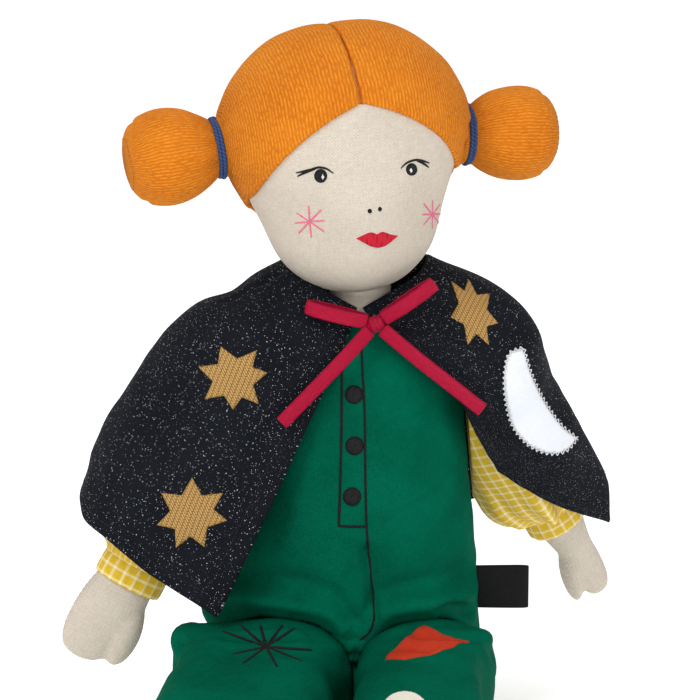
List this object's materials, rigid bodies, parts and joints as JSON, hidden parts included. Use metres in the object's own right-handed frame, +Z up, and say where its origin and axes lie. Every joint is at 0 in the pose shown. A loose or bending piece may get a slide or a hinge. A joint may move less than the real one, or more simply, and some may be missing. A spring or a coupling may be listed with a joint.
{
  "type": "rag doll",
  "caption": "Seated cloth doll with a stuffed head, swinging arms and legs, a wig with tied buns, a jumpsuit with gathered sleeves and a short tied cape.",
  "frame": {"origin": "middle of the flat patch that the doll sits on, on the floor", "axes": "+Z up, the doll faces -Y, its own left side is +X"},
  "size_m": [0.2371, 0.2996, 0.304],
  "materials": {
    "linen": "plain weave, matt",
    "stuffing": "fibre fill",
    "orange_velour": "ribbed pile",
    "blue_cord": "twisted cord",
    "yellow_gingham": "woven check, matt",
    "green_cotton": "twill, matt",
    "black_glitter_cloth": "cloth with silver specks",
    "red_satin": "satin",
    "black_tape": "woven tape, matt"
  },
  "bodies": {
    "torso": {"torso_skin": "linen", "torso_stuffing": "stuffing", "jumpsuit_bodice": "green_cotton", "side_tag": "black_tape", "cape_left": "black_glitter_cloth", "cape_right": "black_glitter_cloth", "bow_knot": "red_satin", "bow_loop_left": "red_satin", "bow_loop_right": "red_satin", "bow_tail_left": "red_satin", "bow_tail_right": "red_satin"},
    "neck": {"neck": "linen"},
    "head": {"head_skin": "linen", "head_stuffing": "stuffing", "hair_left": "orange_velour", "hair_right": "orange_velour", "bun_left": "orange_velour", "bun_right": "orange_velour", "bun_stuffing_left": "stuffing", "bun_stuffing_right": "stuffing", "bun_tie_left": "blue_cord", "bun_tie_right": "blue_cord"},
    "left_arm": {"arm_skin_left": "linen", "arm_stuffing_left": "stuffing", "sleeve_left": "yellow_gingham", "cuff_left": "yellow_gingham"},
    "left_leg": {"leg_skin_left": "linen", "leg_stuffing_left": "stuffing", "trouser_leg_left": "green_cotton"},
    "right_arm": {"arm_skin_right": "linen", "arm_stuffing_right": "stuffing", "sleeve_right": "yellow_gingham", "cuff_right": "yellow_gingham"},
    "right_leg": {"leg_skin_right": "linen", "leg_stuffing_right": "stuffing", "trouser_leg_right": "green_cotton"}
  },
  "joints": [
    {"name": "neck_turn", "type": "hinge", "parent": "torso", "child": "neck", "pos_m": [0.002, 0.00556, 0.184], "axis": [0, 0, 1], "range_deg": [-45, 45], "stiffness_Nm_per_rad": 0.1},
    {"name": "head_nod", "type": "hinge", "parent": "neck", "child": "head", "pos_m": [0.002, 0.00556, 0.193], "axis": [-1, 0, 0], "range_deg": [-8, 8], "stiffness_Nm_per_rad": 0.2},
    {"name": "left_shoulder", "type": "hinge", "parent": "torso", "child": "left_arm", "pos_m": [0.045, 0.004, 0.164], "axis": [-1, 0, 0], "range_deg": [-15, 75], "stiffness_Nm_per_rad": 0.12, "deforming": ["cape_left", "bow_tail_left", "side_tag"]},
    {"name": "right_shoulder", "type": "hinge", "parent": "torso", "child": "right_arm", "pos_m": [-0.045, 0.004, 0.164], "axis": [-1, 0, 0], "range_deg": [-15, 60], "stiffness_Nm_per_rad": 0.12, "deforming": ["cape_right"]},
    {"name": "left_hip", "type": "hinge", "parent": "torso", "child": "left_leg", "pos_m": [0.0312, -0.044, 0.031], "axis": [-1, 0, 0], "range_deg": [-88, 15]},
    {"name": "right_hip", "type": "hinge", "parent": "torso", "child": "right_leg", "pos_m": [-0.0312, -0.044, 0.031], "axis": [-1, 0, 0], "range_deg": [-88, 15]}
  ]
}
